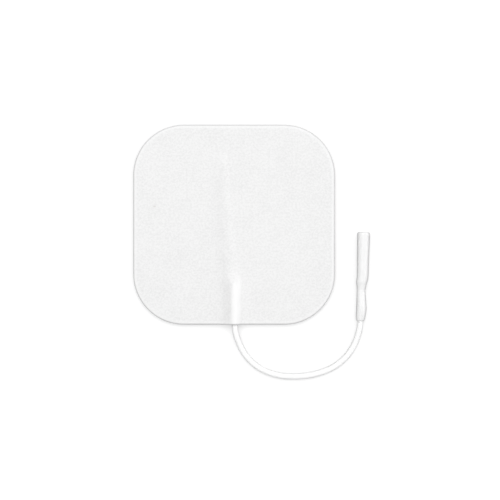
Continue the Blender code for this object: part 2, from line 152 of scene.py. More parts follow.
# Bare strands under the cover
TAIL_CREST = 0.5 * MM
TAIL_HALF_WIDTH = 0.7 * MM
TAIL_SWING = 1.05 * MM
TAIL_SWING_RUN = 9.0 * MM
TAIL_SLANT = 1.5 * MM
TAIL_SLANT_RUN = 30.0 * MM
TAIL_END_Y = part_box("conductor_tail")[1].y

# Sleeve
SLEEVE_LENGTH = 22.1 * MM
BARREL_END = 10.9 * MM
MOUTH_RADIUS = 1.60 * MM
NECK_RADIUS = 1.51 * MM
MOUTH_ROUNDING = 0.32 * MM
REAR_ROUNDING = 0.24 * MM
REAR_ROUNDING_RUN = 0.42 * MM
ROUNDING_STEPS = 4
SLEEVE_SIDES = 64
SLEEVE_POINT_SPACING = 0.3 * MM
SLEEVE_YAW = math.radians(-2.1)
SLEEVE_PITCH = math.asin((MOUTH_RADIUS - NECK_RADIUS) / BARREL_END)

# Inside of the sleeve
LIP_RADIUS = 1.13 * MM
LIP_LENGTH = 1.0 * MM
LIP_CHAMFER = 0.06 * MM
POCKET_RADIUS = 1.25 * MM
POCKET_END = 9.9 * MM
REAR_BORE_RADIUS = 0.85 * MM
LEAD_SLEEVE_END = 13.15 * MM

# Outside of the sleeve, as distances behind the mouth, radii and sideways offsets
SLEEVE_STATIONS = [
    (0.00 * MM, MOUTH_RADIUS, 0.00 * MM),
    (4.00 * MM, 1.55 * MM, 0.03 * MM),
    (7.40 * MM, 1.50 * MM, 0.07 * MM),
    (9.80 * MM, 1.48 * MM, 0.12 * MM),
    (11.00 * MM, 1.45 * MM, 0.12 * MM),
    (11.80 * MM, 1.44 * MM, 0.04 * MM),
    (12.50 * MM, 1.41 * MM, -0.07 * MM),
    (13.05 * MM, 1.27 * MM, -0.10 * MM),
    (13.70 * MM, 1.15 * MM, -0.10 * MM),
    (14.70 * MM, 1.08 * MM, -0.13 * MM),
    (16.80 * MM, 1.19 * MM, 0.00 * MM),
    (19.00 * MM, 1.30 * MM, 0.11 * MM),
    (20.50 * MM, 1.25 * MM, 0.03 * MM),
    (SLEEVE_LENGTH, 1.10 * MM, -0.05 * MM),
]

# Cover's whites: over the film, where there is no film behind it (over the lead also a painted
# highlight), and the painted shade along its outline
BACKED_WHITES = (0.676, 0.794)
UNBACKED_AND_HIGHLIGHT_WHITE = 0.86
OUTLINE_PAINTED_SHADE_WHITE = 0.60
OUTLINE_PAINTED_SHADE_WIDTH = 0.5 * MM

# Cover's fibres, each layer with its turn in radians and its fibres' length and width in millimetres
FIBRE_LAYERS = (
    (1.45, 3.0, 0.20),
    (1.75, 2.4, 0.18),
    (1.25, 2.2, 0.15),
    (2.85, 2.0, 0.13),
)
FIBRE_SHARPNESS = 9.0

# Weights of fibres, mottle and cloud in the cover's white, the mottle's useful range, and its
# weight in the cover's height beside the fibres'
FIBRE_WEIGHT = 0.32
MOTTLE_WEIGHT = 0.60
CLOUD_WEIGHT = 0.42
MOTTLE_RANGE = (0.32, 0.68)
MOTTLE_HEIGHT = 0.8

# Rim, which no film backs, and stripe over the lead, lighter for the white lead behind it and a painted
# highlight on the ridge's right slope. A fade has its start and end in millimetres, past the film's
# outline for the rim, and for the stripe past the cover's outline, the lead's sides or the lead's end.
RIM_FADE = (-0.35, 0.35)
RIM_SHARE = 0.5
STRIPE_OUTER_FADE = (-0.45, -0.1)
STRIPE_LEFT_FADE = (-0.5, 0.4)
STRIPE_RIGHT_FADE = (0.1, 1.1)
STRIPE_END_FADE = (0.2, 6.2)
STRIPE_SLANT_FADE = (0.5, 5.5)
STRIPE_SLANT = 1.1

# Speck on the cover, its place and reach in millimetres, its core as a share of the reach
SPECK_PLACE = (-19.9, 4.55)
SPECK_REACH = (0.55, 0.32)
SPECK_CORE = 0.3
SPECK_COLOUR = (0.66, 0.65, 0.64)

# Film
FILM_DARK = (0.012, 0.012, 0.013)
FILM_LIGHT = (0.030, 0.030, 0.032)

# Gel and net. The net fades out over these millimetres above the skin side, and a thread over
# these shares of its width.
GEL_COLOUR = (0.86, 0.89, 0.87)
NET_COLOUR = (0.93, 0.94, 0.93)
GEL_CLEARNESS = 0.92
NET_CLEARNESS = 0.55
NET_HEIGHT = 0.4
NET_DEPTH_FADE = (0.1, 0.3)
NET_THREAD_FADE = (0.3, 0.7)

# Metals, with their drawing marks to the millimetre along each axis
TIN_COLOUR = (0.72, 0.71, 0.69)
NICKEL_COLOUR = (0.80, 0.77, 0.70)
METAL_SHADE = 0.85
METAL_MARKS = (9.0, 0.6, 9.0)

# Vinyl
LEAD_WHITE = 0.93
SLEEVE_WHITE = 0.842
VINYL_SHADE = 0.97
VINYL_CLOUD_SCALE = 0.35
VINYL_GLOSS_SWAY = 0.07
VINYL_COAT_ROUGHNESS = 0.3
VINYL_COAT_IOR = 1.75

# Floor, surround and lights
FLOOR_SIZE = 3.0
FLOOR_WHITE = 0.15
FLOOR_SEEN_WHITE = 0.5
FLOOR_GLOW = 0.55
SKY_STRENGTH = 0.785
SKY_SEEN_STRENGTH = 1.0
OVERHEAD_PLACE = (-0.2, 0.4, 0.84)
OVERHEAD_SIZE = 0.8
OVERHEAD_POWER = 3.3
KEY_PLACE = (0.65, 0.33, 0.45)
KEY_SIZE = 1.0
KEY_POWER = 2.4

# Camera, from the photograph's frame of 500 by 500 pixels
PIXELS_PER_MM = 4.0
FRAME_PIXELS = 500
PAD_CENTRE_PIXEL = (234.1, 224.7)
CAMERA_LENS = 100.0
CAMERA_SENSOR = 36.0

# Edges of a mesh that are sharper than this are shaded as edges
SHARP_ANGLE = math.radians(50)


def smoothstep(share):
    """Ease from 0 to 1 as share goes from 0 to 1."""
    held = min(max(share, 0.0), 1.0)
    return held * held * (3.0 - 2.0 * held)


def mix(start, end, share):
    """Value between start and end."""
    return start + (end - start) * share


def divided(start, end, steps):
    """Even places from start towards end, which is left out."""
    return [mix(start, end, step / steps) for step in range(steps)]


def quarter_turn(steps):
    """Even angles from 0 to a quarter turn, both included."""
    return [math.pi / 2 * step / steps for step in range(steps + 1)]


def grey(level):
    """Neutral opaque colour."""
    return (level, level, level, 1.0)


def opaque(colour):
    """Colour with full alpha."""
    return (*colour, 1.0)


def input_socket(made, name):
    """Input of a node by its name, or by its place where the name is i and a number."""
    by_place = name[0] == "i" and name[1:].isdigit()
    return made.inputs[int(name[1:])] if by_place else made.inputs[name]


def new_node(tree, kind, settings=None, **inputs):
    """Add a shader node, set its properties and its inputs, and link what comes from other nodes."""
    made = tree.nodes.new(kind)
    for name, value in (settings or {}).items():
        setattr(made, name, value)
    for name, value in inputs.items():
        socket = input_socket(made, name)
        if isinstance(value, bpy.types.NodeSocket):
            tree.links.new(value, socket)
        else:
            socket.default_value = value
    return made


def principled(name, roughness, **settings):
    """Material with a Principled shader, whose tree and shader are handed back with it."""
    material = bpy.data.materials.new(name)
    material.use_nodes = True
    tree = material.node_tree
    shader = tree.nodes["Principled BSDF"]
    shader.inputs["Roughness"].default_value = roughness
    for key, value in settings.items():
        shader.inputs[key.replace("_", " ")].default_value = value
    return material, tree, shader


def millimetres(tree):
    """The piece's own coordinates, in millimetres."""
    place = new_node(tree, "ShaderNodeTexCoord").outputs["Object"]
    scaled = new_node(tree, "ShaderNodeVectorMath", {"operation": "SCALE"}, Vector=place, Scale=1.0 / MM)
    return scaled.outputs["Vector"]


def calculate(tree, operation, first, second=0.0, clamp=False):
    """Result of a Math node."""
    settings = {"operation": operation, "use_clamp": clamp}
    return new_node(tree, "ShaderNodeMath", settings, i0=first, i1=second).outputs["Value"]


def blend_range(tree, value, start, end, low, high):
    """Value carried from one range to another, smoothly and without leaving it."""
    made = new_node(tree, "ShaderNodeMapRange", {"interpolation_type": "SMOOTHSTEP"}, Value=value)
    made.inputs["From Min"].default_value = start
    made.inputs["From Max"].default_value = end
    made.inputs["To Min"].default_value = low
    made.inputs["To Max"].default_value = high
    return made.outputs["Result"]


def fade(tree, value, origin, span, low, high):
    """Smooth change from low to high over a span in millimetres, counted from an origin in metres."""
    start, end = span
    return blend_range(tree, value, origin / MM + start, origin / MM + end, low, high)


def mix_colours(tree, share, first, second):
    """Colour between two others."""
    made = new_node(tree, "ShaderNodeMix", {"data_type": "RGBA"}, Factor=share, i6=first, i7=second)
    return made.outputs[2]


def noise_pattern(tree, place, scale, detail=2.0, roughness=0.5, distortion=0.0):
    """Cloudy noise, with about as many lumps to a millimetre as the scale says."""
    made = new_node(tree, "ShaderNodeTexNoise", Vector=place, Scale=scale, Detail=detail)
    made.inputs["Roughness"].default_value = roughness
    made.inputs["Distortion"].default_value = distortion
    return made.outputs["Fac"]


def stretched_place(tree, place, turn, scale):
    """Coordinates turned about Z and scaled, for a pattern that runs one way."""
    made = new_node(tree, "ShaderNodeMapping", Vector=place, Rotation=(0.0, 0.0, turn), Scale=scale)
    return made.outputs["Vector"]


def set_colour(tree, shader, colour):
    """Link a pattern of colour to the shader."""
    tree.links.new(colour, shader.inputs["Base Color"])


def set_bump(tree, shader, height, strength, distance):
    """Let a pattern of height shade the surface as if it were raised."""
    bump = new_node(tree, "ShaderNodeBump", Height=height, Strength=strength, Distance=distance)
    tree.links.new(bump.outputs["Normal"], shader.inputs["Normal"])


def fibre_layer(tree, place, turn, length, width):
    """Thin bright lines that run one way, like fibres in a felted sheet."""
    along = stretched_place(tree, place, turn, (1.0 / length, 1.0 / width, 1.0 / width))
    cloud = noise_pattern(tree, along, scale=1.0, detail=1.5, distortion=0.35)
    ridge = calculate(tree, "ABSOLUTE", calculate(tree, "SUBTRACT", cloud, 0.5))
    dark = calculate(tree, "MULTIPLY", ridge, FIBRE_SHARPNESS)
    return calculate(tree, "SUBTRACT", 1.0, dark, clamp=True)


def crossing_fibres(tree, place):
    """All layers of fibres, over one another."""
    layers = [fibre_layer(tree, place, *layer) for layer in FIBRE_LAYERS]
    fibres = layers[0]
    for layer in layers[1:]:
        fibres = calculate(tree, "MAXIMUM", fibres, layer)
    return fibres


def past_core(tree, along, half_core):
    """How far a coordinate is past a middle stretch, in millimetres."""
    beyond = calculate(tree, "SUBTRACT", calculate(tree, "ABSOLUTE", along), half_core / MM)
    return calculate(tree, "MAXIMUM", beyond, 0.0)


def corner_reach(tree, place):
    """Distance from the pad's flat-sided core, which its rounded outline is a fixed reach away from."""
    parts = new_node(tree, "ShaderNodeSeparateXYZ", Vector=place)
    beyond_x = past_core(tree, parts.outputs["X"], FILM_HALF_WIDTH - FILM_CORNER)
    beyond_y = past_core(tree, parts.outputs["Y"], FILM_HALF_LENGTH - FILM_CORNER)
    square_x = calculate(tree, "POWER", beyond_x, 2.0)
    square_y = calculate(tree, "POWER", beyond_y, 2.0)
    return calculate(tree, "SQRT", calculate(tree, "ADD", square_x, square_y))


def stripe_share(tree, place, reach):
    """Share of the lighter stripe over the lead, lighter for the white lead behind the cover and a
    painted highlight on the ridge's right slope; it slants a little and ends softly.
    """
    parts = new_node(tree, "ShaderNodeSeparateXYZ", Vector=place)
    along = parts.outputs["Y"]
    aside = calculate(tree, "SUBTRACT", parts.outputs["X"], LEAD_EXIT_X / MM)
    slant = fade(tree, along, LEAD_END_Y, STRIPE_SLANT_FADE, 0.0, STRIPE_SLANT)
    past_slant = calculate(tree, "SUBTRACT", aside, slant)
    left = fade(tree, past_slant, -LEAD_RADIUS, STRIPE_LEFT_FADE, 0.0, 1.0)
    # Painted highlight: the stripe reaches past the lead's right side onto the ridge's slope that faces
    # the key light.
    right = fade(tree, aside, LEAD_RADIUS, STRIPE_RIGHT_FADE, 1.0, 0.0)
    inner = fade(tree, along, LEAD_END_Y, STRIPE_END_FADE, 1.0, 0.0)
    outer = fade(tree, reach, COVER_CORNER, STRIPE_OUTER_FADE, 1.0, 0.0)
    across = calculate(tree, "MULTIPLY", left, right)
    return calculate(tree, "MULTIPLY", across, calculate(tree, "MULTIPLY", inner, outer))


def unbacked_and_highlight_share(tree, place):
    """Share of the lighter white at the rim, where no black film is behind the cover, and over the lead,
    where the white lead is behind it and a painted highlight lies on the ridge's right slope.
    """
    reach = corner_reach(tree, place)
    rim = fade(tree, reach, FILM_CORNER, RIM_FADE, 0.0, 1.0)
    rim = calculate(tree, "MULTIPLY", rim, RIM_SHARE)
    return calculate(tree, "MAXIMUM", rim, stripe_share(tree, place, reach))


def outline_shade_share(tree, place):
    """Share of the painted shade along the cover's outline, which grows towards the outline."""
    outline = COVER_CORNER / MM
    return blend_range(tree, corner_reach(tree, place), outline - OUTLINE_PAINTED_SHADE_WIDTH / MM, outline, 0.0, 1.0)


def speck_share(tree, place):
    """Share of the speck's colour, a small spot with a soft edge."""
    shrunk = (1.0 / SPECK_REACH[0], 1.0 / SPECK_REACH[1], 0.0)
    centre = (SPECK_PLACE[0] / SPECK_REACH[0], SPECK_PLACE[1] / SPECK_REACH[1], 0.0)
    scaled = new_node(tree, "ShaderNodeVectorMath", {"operation": "MULTIPLY"}, i0=place, i1=shrunk)
    flat = scaled.outputs["Vector"]
    away = new_node(tree, "ShaderNodeVectorMath", {"operation": "DISTANCE"}, i0=flat, i1=centre)
    return blend_range(tree, away.outputs["Value"], SPECK_CORE, 1.0, 1.0, 0.0)


def cover_colour(tree, place, fibres, mottle):
    """Cloudy, fibrous white of the cover, with its lighter rim, its stripe over the lead with a painted
    highlight, a painted shade along its outline, and its speck.
    """
    tufts = blend_range(tree, mottle, *MOTTLE_RANGE, 0.0, 1.0)
    cloud = noise_pattern(tree, place, scale=0.2, detail=3.0)
    shade = calculate(tree, "MULTIPLY", tufts, MOTTLE_WEIGHT)
    shade = calculate(tree, "ADD", shade, calculate(tree, "MULTIPLY", cloud, CLOUD_WEIGHT))
    shade = calculate(tree, "ADD", shade, calculate(tree, "MULTIPLY", fibres, FIBRE_WEIGHT))
    darkest, lightest = BACKED_WHITES
    colour = mix_colours(tree, shade, grey(darkest), grey(lightest))
    # Lighter where no film is behind the cover and where the white lead is, with a painted highlight on
    # the ridge's right slope.
    colour = mix_colours(tree, unbacked_and_highlight_share(tree, place), colour, grey(UNBACKED_AND_HIGHLIGHT_WHITE))
    # Painted shade: the cover darkens towards its outline, in place of the shadow line at its edge.
    colour = mix_colours(tree, outline_shade_share(tree, place), colour, grey(OUTLINE_PAINTED_SHADE_WHITE))
    return mix_colours(tree, speck_share(tree, place), colour, opaque(SPECK_COLOUR))


def cover_material():
    """White nonwoven: crossing fibres, a fine mottle and a cloudy density."""
    material, tree, shader = principled(
        "cover_nonwoven", roughness=0.93, Sheen_Weight=0.1, Sheen_Roughness=0.6, Specular_IOR_Level=0.2
    )
    place = millimetres(tree)
    fibres = crossing_fibres(tree, place)
    mottle = noise_pattern(tree, place, scale=1.9, detail=3.0, roughness=0.65)
    set_colour(tree, shader, cover_colour(tree, place, fibres, mottle))
    height = calculate(tree, "ADD", fibres, calculate(tree, "MULTIPLY", mottle, MOTTLE_HEIGHT))
    set_bump(tree, shader, height, strength=0.5, distance=0.02 * MM)
    return material


def vinyl_material(name, white, roughness, grain, grain_depth, light_depth, coat):
    """White vinyl that light enters a little way, with a fine grain and slightly uneven gloss."""
    material, tree, shader = principled(
        name,
        roughness,
        IOR=1.5,
        Subsurface_Weight=1.0,
        Subsurface_Radius=(1.0, 1.0, 1.0),
        Subsurface_Scale=light_depth,
        Coat_Weight=coat,
        Coat_Roughness=VINYL_COAT_ROUGHNESS,
        Coat_IOR=VINYL_COAT_IOR,
    )
    place = millimetres(tree)
    speckle = noise_pattern(tree, place, scale=grain, detail=3.0)
    cloud = noise_pattern(tree, place, scale=VINYL_CLOUD_SCALE)
    set_colour(tree, shader, mix_colours(tree, cloud, grey(white * VINYL_SHADE), grey(white)))
    gloss = new_node(tree, "ShaderNodeMapRange", Value=speckle)
    gloss.inputs["To Min"].default_value = roughness - VINYL_GLOSS_SWAY
    gloss.inputs["To Max"].default_value = roughness + VINYL_GLOSS_SWAY
    tree.links.new(gloss.outputs["Result"], shader.inputs["Roughness"])
    set_bump(tree, shader, speckle, strength=0.4, distance=grain_depth)
    return material


def sleeve_material():
    """Satin moulded vinyl with a thin skin."""
    return vinyl_material(
        "sleeve_vinyl",
        SLEEVE_WHITE,
        roughness=0.42,
        grain=5.0,
        grain_depth=0.006 * MM,
        light_depth=0.1 * MM,
        coat=1.0,
    )


def lead_material():
    """Softly glossy, slightly translucent vinyl."""
    return vinyl_material(
        "lead_vinyl",
        LEAD_WHITE,
        roughness=0.36,
        grain=4.0,
        grain_depth=0.004 * MM,
        light_depth=0.8 * MM,
        coat=0.0,
    )


def film_material():
    """Black carbon-filled film with a fine matt grain."""
    material, tree, shader = principled("film_carbon", roughness=0.5, IOR=1.5)
    grain = noise_pattern(tree, millimetres(tree), scale=6.0, detail=4.0)
    set_colour(tree, shader, mix_colours(tree, grain, opaque(FILM_DARK), opaque(FILM_LIGHT)))
    set_bump(tree, shader, grain, strength=0.3, distance=0.01 * MM)
    return material


def thread_lines(tree, along):
    """Threads at even distances along one coordinate, as 1 on a thread and 0 between them."""
    gap = calculate(tree, "PINGPONG", along, NET_PITCH / MM / 2)
    solid, clear = (NET_THREAD / MM * share for share in NET_THREAD_FADE)
    return blend_range(tree, gap, solid, clear, 1.0, 0.0)


def net_threads(tree, place):
    """Slightly swaying net of threads on the skin side of the gel."""
    sway = noise_pattern(tree, place, scale=0.25)
    parts = new_node(tree, "ShaderNodeSeparateXYZ", Vector=place)
    crosswise = thread_lines(tree, calculate(tree, "ADD", parts.outputs["X"], sway))
    lengthwise = thread_lines(tree, calculate(tree, "ADD", parts.outputs["Y"], sway))
    skin_side = fade(tree, parts.outputs["Z"], GEL_LOW.z, NET_DEPTH_FADE, 1.0, 0.0)
    return calculate(tree, "MULTIPLY", calculate(tree, "MAXIMUM", crosswise, lengthwise), skin_side)


def gel_material():
    """Clear, tacky hydrogel over the dark film, with a thin white support net in it."""
    material, tree, shader = principled(
        "gel_clear", roughness=0.12, IOR=1.4, Coat_Weight=0.3, Coat_Roughness=0.08
    )
    place = millimetres(tree)
    thread = net_threads(tree, place)
    set_colour(tree, shader, mix_colours(tree, thread, opaque(GEL_COLOUR), opaque(NET_COLOUR)))
    clear = blend_range(tree, thread, 0.0, 1.0, GEL_CLEARNESS, NET_CLEARNESS)
    tree.links.new(clear, shader.inputs["Transmission Weight"])
    ripple = noise_pattern(tree, place, scale=0.5)
    height = calculate(tree, "ADD", calculate(tree, "MULTIPLY", thread, NET_HEIGHT), ripple)
    set_bump(tree, shader, height, strength=0.35, distance=0.05 * MM)
    return material


def metal_material(name, colour, roughness):
    """Plated or tinned metal with fine drawing marks."""
    material, tree, shader = principled(name, roughness, Metallic=1.0)
    drawn = stretched_place(tree, millimetres(tree), 0.0, METAL_MARKS)
    marks = noise_pattern(tree, drawn, scale=1.0, detail=3.0)
    shaded = [channel * METAL_SHADE for channel in colour]
    set_colour(tree, shader, mix_colours(tree, marks, opaque(shaded), opaque(colour)))
    set_bump(tree, shader, marks, strength=0.2, distance=0.01 * MM)
    return material


def floor_material():
    """Pale matt floor, which the camera alone sees lighter and glowing, as overexposed white."""
    material = bpy.data.materials.new("floor_white")
    material.use_nodes = True
    tree = material.node_tree
    tree.nodes.remove(tree.nodes["Principled BSDF"])
    seen = new_node(tree, "ShaderNodeLightPath").outputs["Is Camera Ray"]
    colour = mix_colours(tree, seen, grey(FLOOR_WHITE), grey(FLOOR_SEEN_WHITE))
    matt = new_node(tree, "ShaderNodeBsdfDiffuse", Color=colour)
    lit = new_node(tree, "ShaderNodeEmission", Strength=calculate(tree, "MULTIPLY", seen, FLOOR_GLOW))
    both = new_node(tree, "ShaderNodeAddShader", i0=matt.outputs["BSDF"], i1=lit.outputs["Emission"])
    tree.links.new(both.outputs["Shader"], tree.nodes["Material Output"].inputs["Surface"])
    return material


def mesh_piece(name, shape, material):
    """Turn a bmesh into a smooth-shaded piece of the scene."""
    bmesh.ops.recalc_face_normals(shape, faces=shape.faces)
    mesh = bpy.data.meshes.new(name)
    shape.to_mesh(mesh)
    shape.free()
    mesh.materials.append(material)
    mesh.shade_smooth()
    mesh.set_sharp_from_angle(angle=SHARP_ANGLE)
    piece = bpy.data.objects.new(name, mesh)
    bpy.context.scene.collection.objects.link(piece)
    return piece


def join_loops(shape, first, second):
    """Band of faces between two closed loops of as many points."""
    for place in range(len(first)):
        after = (place + 1) % len(first)
        shape.faces.new((first[place], first[after], second[after], second[place]))


def fill_grid(shape, grid):
    """Faces between neighbouring rows of points."""
    for near, far in zip(grid, grid[1:]):
        for place in range(len(near) - 1):
            shape.faces.new((near[place], near[place + 1], far[place + 1], far[place]))


def grid_outline(grid):
    """Outermost points of a grid, in order around it."""
    row_ends = [row[-1] for row in grid[1:]]
    row_starts = [row[0] for row in grid[-2:0:-1]]
    return grid[0] + row_ends + grid[-1][-2::-1] + row_starts


def wire_x(y):
    """Sideways place of the ridge over the lead and its strands, which swing aside and then slant."""
    past_lead = y - LEAD_END_Y
    slant = TAIL_SLANT * min(max(past_lead / TAIL_SLANT_RUN, 0.0), 1.0)
    return LEAD_EXIT_X - TAIL_SWING * smoothstep(past_lead / TAIL_SWING_RUN) - slant


def ridge_fallen(y):
    """How far the ridge has come down from the lead's height to the strands'."""
    return smoothstep((y - LEAD_END_Y - RIDGE_START_GAP) / RIDGE_FALL_RUN)


def ridge_edges(y):
    """Places along X where the cover lies flat on the film again, left and right of the wire."""
    fallen = ridge_fallen(y)
    tightened = smoothstep((y - LEAD_END_Y) / (TAIL_END_Y - LEAD_END_Y))
    tail_left = TAIL_HALF_WIDTH + mix(*TAIL_TENT_LEFT, tightened)
    tail_right = TAIL_HALF_WIDTH + mix(*TAIL_TENT_RIGHT, tightened)
    left = mix(LEAD_RADIUS + LEAD_TENT_LEFT, tail_left, fallen)
    right = mix(LEAD_RADIUS + LEAD_TENT_RIGHT, tail_right, fallen)
    return wire_x(y) - left * FOOT_REACH, wire_x(y) + right * FOOT_REACH


def ridge_share(x, y):
    """Height at a point of the ridge, as a share of its crest there: a steep tent on a broad foot."""
    left, right = ridge_edges(y)
    edge = left if x < wire_x(y) else right
    aside = min((x - wire_x(y)) / (edge - wire_x(y)), 1.0)
    foot = (1.0 + math.cos(math.pi * aside)) / 2
    tent = (1.0 + math.cos(math.pi * min(aside * FOOT_REACH, 1.0))) / 2
    return mix(tent, foot, FOOT_SHARE)


def ridge_crest(y):
    """Height of the cover's underside above the film, right over the wire."""
    ended = smoothstep((y - TAIL_END_Y - RIDGE_END_GAP) / RIDGE_END_RUN)
    return mix(LEAD_CREST, TAIL_CREST, ridge_fallen(y)) * (1.0 - ended)


def cover_relief(x, y):
    """Small unevenness of the cover's top: felted tufts."""
    return TUFT_DEPTH * noise.noise(Vector((x, y, 0.0)) / TUFT_SIZE)


def cover_rows():
    """Places along Y of the cover's rows of points, from the lead's edge to the far edge."""
    angles = quarter_turn(math.ceil(math.pi / 2 * FILM_CORNER / ROW_SPACING))
    straight = FILM_HALF_LENGTH - FILM_CORNER
    near = [-straight - FILM_CORNER * math.cos(angle) for angle in angles[:-1]]
    middle = divided(-straight, straight, math.ceil(2 * straight / ROW_SPACING))
    far = [straight + FILM_CORNER * math.sin(angle) for angle in angles]
    return near + middle + far


def cover_columns(y):
    """Places along X of one row's points, close together over the ridge."""
    beyond = max(abs(y) - (FILM_HALF_LENGTH - FILM_CORNER), 0.0)
    edge = FILM_HALF_WIDTH - FILM_CORNER + math.sqrt(max(FILM_CORNER**2 - beyond**2, 0.0))
    left, right = ridge_edges(y)
    columns = divided(-edge, left, FLAT_COLUMNS) + divided(left, wire_x(y), RIDGE_COLUMNS)
    columns += divided(wire_x(y), right, RIDGE_COLUMNS) + divided(right, edge, FLAT_COLUMNS)
    return columns + [edge]


def beyond_film(x, y, distance):
    """Point at that distance outside the film's edge, opposite a point on it."""
    core_x = min(max(x, FILM_CORNER - FILM_HALF_WIDTH), FILM_HALF_WIDTH - FILM_CORNER)
    core_y = min(max(y, FILM_CORNER - FILM_HALF_LENGTH), FILM_HALF_LENGTH - FILM_CORNER)
    reach = (FILM_CORNER + distance) / FILM_CORNER
    return core_x + (x - core_x) * reach, core_y + (y - core_y) * reach


def cover_heights(x, y, outward):
    """Heights of the cover's underside and top at a point, outward being its distance past the film."""
    share = outward / LAYER_INSET
    rise = ridge_crest(y) * ridge_share(x, y)
    tented = ridge_share(x, y) * min(ridge_crest(y) / TAIL_CREST, 1.0)
    under = FILM_TOP + rise - BORDER_DROOP * share**BORDER_DROOP_POWER * (1.0 - tented)
    turned = max(outward - LAYER_INSET + RIM_ROUNDING_RUN, 0.0) / RIM_ROUNDING_RUN
    worn = RIM_ROUNDING_DROP * (1.0 - math.sqrt(max(1.0 - turned * turned, 0.0)))
    return under, under + COVER_THICKNESS - worn + cover_relief(x, y)


def border_distances():
    """Distances past the film at which the cover's border has its loops, close together at the rim."""
    flat_run = LAYER_INSET - RIM_ROUNDING_RUN
    flat = [flat_run * step / BORDER_STEPS for step in range(1, BORDER_STEPS + 1)]
    angles = quarter_turn(RIM_STEPS)[1:]
    return flat + [flat_run + RIM_ROUNDING_RUN * math.sin(angle) for angle in angles]


def add_border(shape, loop, side):
    """Bands of one side of the cover, from the film's edge to the cover's, with its outermost points."""
    inner = loop
    for distance in border_distances():
        outer = []
        for corner in loop:
            x, y = beyond_film(corner.co.x, corner.co.y, distance)
            outer.append(shape.verts.new((x, y, cover_heights(x, y, distance)[side])))
        join_loops(shape, inner, outer)
        inner = outer
    return inner


def make_cover(material):
    """Nonwoven cover: flat on the film, tented over the lead, drooping past the film's edge."""
    shape = bmesh.new()
    grids = ([], [])
    for y in cover_rows():
        columns = cover_columns(y)
        for side, grid in enumerate(grids):
            grid.append([shape.verts.new((x, y, cover_heights(x, y, 0.0)[side])) for x in columns])
    rims = []
    for side, grid in enumerate(grids):
        fill_grid(shape, grid)
        rims.append(add_border(shape, grid_outline(grid), side))
    join_loops(shape, *rims)
    return mesh_piece("cover", shape, material)


def film_outline(inset):
    """Corners of the film's outline drawn in by some distance, anticlockwise."""
    radius = FILM_CORNER - inset
    points = []
    for quarter in range(4):
        centre_x = (FILM_HALF_WIDTH - FILM_CORNER) * (1 if quarter in (0, 3) else -1)
        centre_y = (FILM_HALF_LENGTH - FILM_CORNER) * (1 if quarter in (0, 1) else -1)
        for step in range(GEL_CORNER_STEPS + 1):
            angle = math.pi / 2 * (quarter + step / GEL_CORNER_STEPS)
            points.append((centre_x + radius * math.cos(angle), centre_y + radius * math.sin(angle)))
    return points


def gel_levels():
    """Heights of the gel's rings and how far each is drawn in, from the bottom to the top."""
    lower = []
    upper = []
    for angle in quarter_turn(GEL_ROUNDING_STEPS):
        inset = GEL_ROUNDING * (1 - math.cos(angle))
        height = GEL_LOW.z + GEL_ROUNDING * (1 - math.sin(angle))
        lower.append((height, inset))
        upper.append((GEL_HIGH.z - (height - GEL_LOW.z), inset))
    return sorted(lower + upper)


def make_gel(material):
    """Gel sheet with softly rounded lower and upper edges."""
    shape = bmesh.new()
    rings = []
    for height, inset in gel_levels():
        rings.append([shape.verts.new((x, y, height)) for x, y in film_outline(inset)])
    for lower, upper in zip(rings, rings[1:]):
        join_loops(shape, lower, upper)
    shape.faces.new(rings[0])
    shape.faces.new(rings[-1])
    return mesh_piece("gel", shape, material)


def smooth_points(points):
    """Close points on the smooth curve through the given ones."""
    padded = [2 * points[0] - points[1]] + points + [2 * points[-1] - points[-2]]
    curve = []
    for before, start, end, after in zip(padded, padded[1:], padded[2:], padded[3:]):
        bend = 2 * before - 5 * start + 4 * end - after
        twist = 3 * start - before - 3 * end + after
        for share in divided(0.0, 1.0, CURVE_SUBDIVISIONS):
            curve.append(start + 0.5 * share * ((end - before) + share * (bend + share * twist)))
    return curve + [points[-1]]


def travelled_lengths(points):
    """Distance along the points up to each of them."""
    travelled = [0.0]
    for start, end in zip(points, points[1:]):
        travelled.append(travelled[-1] + (end - start).length)
    return travelled


def spaced_points(curve, spacing):
    """Evenly spaced points along a finely divided curve, its ends included."""
    travelled = travelled_lengths(curve)
    count = math.ceil(travelled[-1] / spacing)
    points = [curve[0]]
    place = 0
    for step in range(1, count):
        goal = travelled[-1] * step / count
        while travelled[place + 1] < goal:
            place += 1
        share = (goal - travelled[place]) / (travelled[place + 1] - travelled[place])
        points.append(curve[place].lerp(curve[place + 1], share))
    return points + [curve[-1]]


def sleeve_direction():
    """Way from the sleeve's rear to its mouth."""
    level = math.cos(SLEEVE_PITCH)
    return Vector((-math.sin(SLEEVE_YAW) * level, math.cos(SLEEVE_YAW) * level, math.sin(SLEEVE_PITCH)))


def sleeve_rear():
    """Middle of the sleeve's rear face, at the free lead's far end."""
    across, along = LEAD_ROUTE[-1]
    height = MOUTH_RADIUS + FLOOR_GAP - SLEEVE_LENGTH * math.sin(SLEEVE_PITCH)
    return Vector((LEAD_EXIT_X + across, EXIT_Y + along, height))


def lead_points():
    """Whole lead: under the cover, down to the floor, along it, and up into the sleeve."""
    flat = [Vector((LEAD_EXIT_X + across, EXIT_Y + along, 0.0)) for across, along in LEAD_ROUTE]
    travelled = travelled_lengths(flat)
    rear_height = sleeve_rear().z
    for point, done in zip(flat, travelled):
        to_exit = 1.0 - smoothstep(done / LEAD_FALL_RUN)
        to_sleeve = 1.0 - smoothstep((travelled[-1] - done) / LEAD_RISE_RUN)
        exit_lift = to_exit * (EXIT_HEIGHT - LYING_HEIGHT)
        sleeve_lift = to_sleeve * (rear_height - LYING_HEIGHT)
        point.z = LYING_HEIGHT + exit_lift + sleeve_lift
    buried_end = Vector((LEAD_EXIT_X, LEAD_END_Y, EXIT_HEIGHT))
    sleeve_end = sleeve_rear() + sleeve_direction() * (SLEEVE_LENGTH - LEAD_SLEEVE_END)
    free = spaced_points(smooth_points(flat), LEAD_POINT_SPACING)
    return [buried_end, free[0].lerp(buried_end, 0.5)] + free + [sleeve_end]


